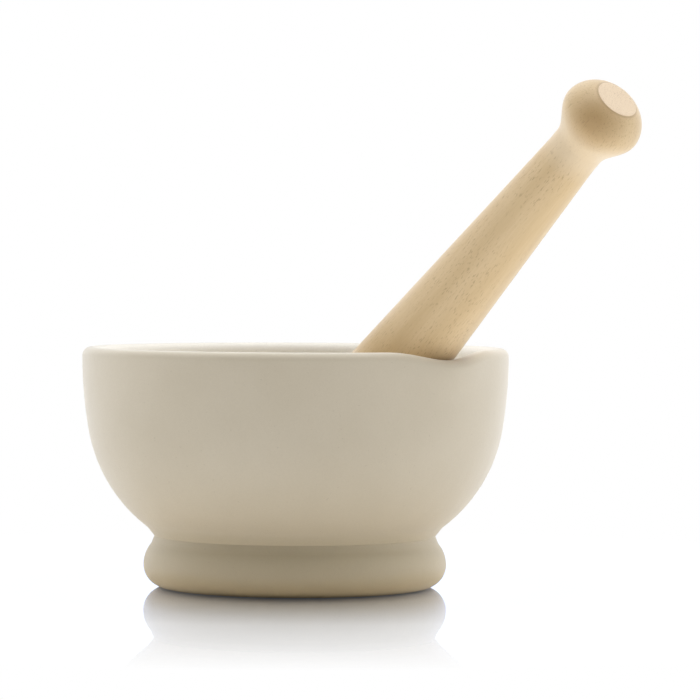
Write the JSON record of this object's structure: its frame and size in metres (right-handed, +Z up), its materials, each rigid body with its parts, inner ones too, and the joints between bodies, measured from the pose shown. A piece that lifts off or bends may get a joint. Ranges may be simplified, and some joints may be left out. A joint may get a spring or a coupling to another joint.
{
  "type": "mortar and pestle",
  "caption": "Footed ceramic grinding bowl with a pouring lip, and a wooden-handled pestle with a ceramic head resting in it.",
  "frame": {"origin": "centre of the flat underside of the mortar's foot, on the surface it stands on", "axes": "+Z up along the mortar's axis, +X horizontal towards the middle of the pouring lip"},
  "size_m": [0.2377, 0.16, 0.1872],
  "materials": {
    "mortar_ceramic": "matt, unglazed cream",
    "head_ceramic": "matt, unglazed off-white",
    "handle_wood": "sanded and oiled pale beech",
    "cement": "cured adhesive"
  },
  "bodies": {
    "mortar": {"mortar_bowl": "mortar_ceramic"},
    "pestle": {"pestle_handle": "handle_wood", "pestle_head": "head_ceramic", "handle_cement": "cement"}
  },
  "joints": [
    {"name": "pestle_lift", "type": "slide", "parent": "mortar", "child": "pestle", "axis": [0, 0, 1], "range_m": [0, 0.12]}
  ]
}
